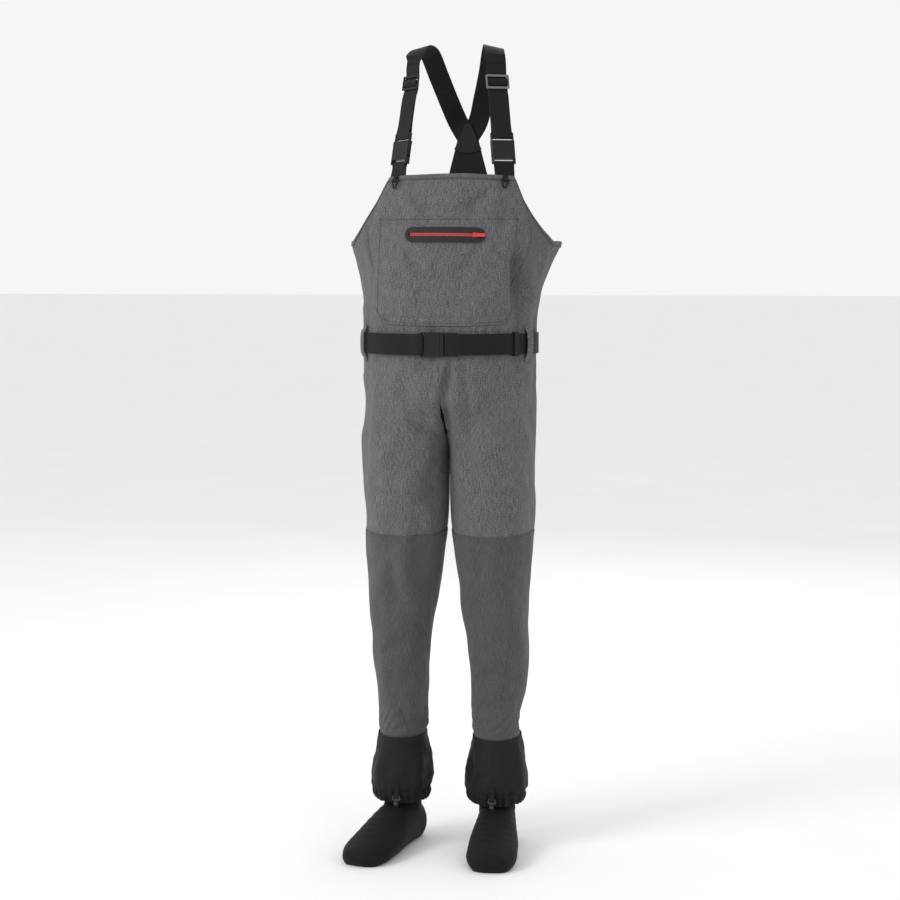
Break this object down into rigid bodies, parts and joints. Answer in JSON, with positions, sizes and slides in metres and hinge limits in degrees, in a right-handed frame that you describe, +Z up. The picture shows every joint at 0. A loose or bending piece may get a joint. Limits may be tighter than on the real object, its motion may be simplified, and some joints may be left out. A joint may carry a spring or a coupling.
{
  "type": "chest waders",
  "caption": "Stocking-foot chest waders in grey canvas with braces, zipped chest pocket, waist belt, black gaiters and neoprene socks.",
  "frame": {"origin": "under the straps at the wearer's shoulders, halfway between them", "axes": "+X to the wearer's left, the wearer faces -Y, +Z up"},
  "size_m": [0.3896, 0.3423, 1.4894],
  "materials": {
    "canvas": "matt heathered coated weave",
    "shin_canvas": "matt dense coated weave with a faint sheen",
    "gaiter_cloth": "matt black ripstop cloth",
    "neoprene": "matt jersey-faced neoprene",
    "neoprene_sole": "matt textured neoprene",
    "elastic": "matt ribbed elastic",
    "edging": "matt woven tape",
    "zip_laminate": "satin welded laminate",
    "zip_tape": "matt woven tape",
    "zip_red": "satin red",
    "patch": "smooth satin black",
    "webbing": "matt ribbed webbing",
    "grey_hardware": "satin gunmetal grey",
    "dark_metal": "black enamelled steel",
    "black_plastic": "fine satin moulded"
  },
  "bodies": {
    "garment": {"bib_front_panel": "canvas", "bib_back_panel": "canvas", "bib_binding": "edging", "back_binding": "edging", "pocket_panel": "canvas", "zip_window": "zip_laminate", "zip_tape": "zip_tape", "zip_coil": "zip_red", "cross_patch_inner": "patch", "cross_patch_outer": "patch", "belt_webbing": "webbing", "belt_buckle_socket": "black_plastic", "rear_belt_loops": "canvas", "right_thigh_front_panel": "canvas", "right_thigh_back_panel": "canvas", "right_shin_panel": "shin_canvas", "right_calf_panel": "shin_canvas", "right_sock_upper": "neoprene", "right_sock_sole": "neoprene_sole", "right_gaiter": "gaiter_cloth", "right_gaiter_elastic": "elastic", "right_hook_tab": "webbing", "right_strap_anchor": "webbing", "right_buckle_socket": "black_plastic", "right_shoulder_strap": "webbing", "right_ring_tab": "webbing", "right_belt_loop": "canvas", "left_thigh_front_panel": "canvas", "left_thigh_back_panel": "canvas", "left_shin_panel": "shin_canvas", "left_calf_panel": "shin_canvas", "left_sock_upper": "neoprene", "left_sock_sole": "neoprene_sole", "left_gaiter": "gaiter_cloth", "left_gaiter_elastic": "elastic", "left_hook_tab": "webbing", "left_strap_anchor": "webbing", "left_buckle_socket": "black_plastic", "left_shoulder_strap": "webbing", "left_ring_tab": "webbing", "left_belt_loop": "canvas"},
    "zip_slider": {"zip_slider": "zip_red"},
    "zip_pull": {"zip_pull": "zip_red"},
    "right_buckle_plug": {"right_buckle_plug": "black_plastic"},
    "right_buckle_outer_prong": {"right_buckle_outer_prong": "black_plastic"},
    "right_buckle_inner_prong": {"right_buckle_inner_prong": "black_plastic"},
    "right_strap_adjuster": {"right_strap_adjuster": "black_plastic"},
    "right_accessory_ring": {"right_accessory_ring": "black_plastic"},
    "right_lace_hook": {"right_lace_hook": "dark_metal"},
    "left_buckle_plug": {"left_buckle_plug": "black_plastic"},
    "left_buckle_inner_prong": {"left_buckle_inner_prong": "black_plastic"},
    "left_buckle_outer_prong": {"left_buckle_outer_prong": "black_plastic"},
    "left_strap_adjuster": {"left_strap_adjuster": "grey_hardware"},
    "left_accessory_ring": {"left_accessory_ring": "black_plastic"},
    "left_lace_hook": {"left_lace_hook": "dark_metal"},
    "belt_buckle_plug": {"belt_buckle_plug": "black_plastic"},
    "belt_buckle_upper_prong": {"belt_buckle_upper_prong": "black_plastic"},
    "belt_buckle_lower_prong": {"belt_buckle_lower_prong": "black_plastic"},
    "belt_keeper": {"belt_keeper": "black_plastic"}
  },
  "joints": [
    {"name": "zip_slide", "type": "hinge", "parent": "garment", "child": "zip_slider", "pos_m": [0.00877, 0.19899, -0.376], "axis": [0.0115, 0.1059, 0.9943], "range_deg": [-19.64, 0]},
    {"name": "zip_pull_swing", "type": "hinge", "parent": "zip_slider", "child": "zip_pull", "pos_m": [0.06512, -0.12251, -0.34239], "axis": [0.0115, 0.1059, 0.9943], "range_deg": [-165, 0]},
    {"name": "right_buckle_release", "type": "slide", "parent": "garment", "child": "right_buckle_plug", "axis": [0.1027, 0.1828, 0.9778], "range_m": [0, 0.034], "deforming": ["right_shoulder_strap", "right_buckle_outer_prong", "right_buckle_inner_prong"]},
    {"name": "right_buckle_outer_prong_squeeze", "type": "hinge", "parent": "right_buckle_plug", "child": "right_buckle_outer_prong", "pos_m": [-0.08897, -0.05137, -0.17767], "axis": [0.6549, 0.7274, -0.2048], "range_deg": [-8, 0], "stiffness_Nm_per_rad": 0.2},
    {"name": "right_buckle_inner_prong_squeeze", "type": "hinge", "parent": "right_buckle_plug", "child": "right_buckle_inner_prong", "pos_m": [-0.06598, -0.07167, -0.17629], "axis": [0.6549, 0.7274, -0.2048], "range_deg": [0, 8], "stiffness_Nm_per_rad": 0.2},
    {"name": "right_adjuster_slide", "type": "slide", "parent": "garment", "child": "right_strap_adjuster", "axis": [0.1027, 0.1828, 0.9778], "range_m": [-0.04, 0.015], "deforming": ["right_shoulder_strap"]},
    {"name": "right_ring_swing", "type": "hinge", "parent": "garment", "child": "right_accessory_ring", "pos_m": [-0.08704, -0.08571, -0.24353], "axis": [0.8572, -0.5016, 0.1165], "range_deg": [-80, 0]},
    {"name": "right_hook_swing", "type": "hinge", "parent": "garment", "child": "right_lace_hook", "pos_m": [-0.09, -0.0736, -1.38198], "axis": [1, 0, 0], "range_deg": [-50, 0]},
    {"name": "left_buckle_release", "type": "slide", "parent": "garment", "child": "left_buckle_plug", "axis": [-0.1027, 0.1828, 0.9778], "range_m": [0, 0.034], "deforming": ["left_shoulder_strap", "left_buckle_inner_prong", "left_buckle_outer_prong"]},
    {"name": "left_buckle_inner_prong_squeeze", "type": "hinge", "parent": "left_buckle_plug", "child": "left_buckle_inner_prong", "pos_m": [0.09174, -0.06874, -0.17705], "axis": [-0.459, 0.8633, -0.2096], "range_deg": [-8, 0], "stiffness_Nm_per_rad": 0.2},
    {"name": "left_buckle_outer_prong_squeeze", "type": "hinge", "parent": "left_buckle_plug", "child": "left_buckle_outer_prong", "pos_m": [0.11884, -0.0543, -0.17691], "axis": [-0.459, 0.8633, -0.2096], "range_deg": [0, 8], "stiffness_Nm_per_rad": 0.2},
    {"name": "left_adjuster_slide", "type": "slide", "parent": "garment", "child": "left_strap_adjuster", "axis": [-0.1027, 0.1828, 0.9778], "range_m": [-0.04, 0.015], "deforming": ["left_shoulder_strap"]},
    {"name": "left_ring_swing", "type": "hinge", "parent": "garment", "child": "left_accessory_ring", "pos_m": [0.11448, -0.08573, -0.24378], "axis": [0.8468, 0.4954, -0.1938], "range_deg": [-80, 0]},
    {"name": "left_hook_swing", "type": "hinge", "parent": "garment", "child": "left_lace_hook", "pos_m": [0.09, -0.0736, -1.38198], "axis": [1, 0, 0], "range_deg": [-50, 0]},
    {"name": "belt_buckle_release", "type": "slide", "parent": "garment", "child": "belt_buckle_plug", "axis": [1, 0, 0], "range_m": [0, 0.04], "deforming": ["belt_webbing", "belt_buckle_upper_prong", "belt_buckle_lower_prong"]},
    {"name": "belt_buckle_upper_prong_squeeze", "type": "hinge", "parent": "belt_buckle_plug", "child": "belt_buckle_upper_prong", "pos_m": [0.00395, -0.1251, -0.52365], "axis": [0, 1, 0], "range_deg": [-8, 0], "stiffness_Nm_per_rad": 0.2},
    {"name": "belt_buckle_lower_prong_squeeze", "type": "hinge", "parent": "belt_buckle_plug", "child": "belt_buckle_lower_prong", "pos_m": [0.00395, -0.1251, -0.55435], "axis": [0, 1, 0], "range_deg": [0, 8], "stiffness_Nm_per_rad": 0.2},
    {"name": "keeper_slide", "type": "hinge", "parent": "garment", "child": "belt_keeper", "pos_m": [0.03659, 0.02082, -0.539], "axis": [0, 0, 1], "range_deg": [-4, 0]}
  ],
  "couplings": [
    {"joint": "right_buckle_inner_prong_squeeze", "follows": "right_buckle_outer_prong_squeeze", "ratio": -1},
    {"joint": "left_buckle_outer_prong_squeeze", "follows": "left_buckle_inner_prong_squeeze", "ratio": -1},
    {"joint": "belt_buckle_lower_prong_squeeze", "follows": "belt_buckle_upper_prong_squeeze", "ratio": -1}
  ]
}
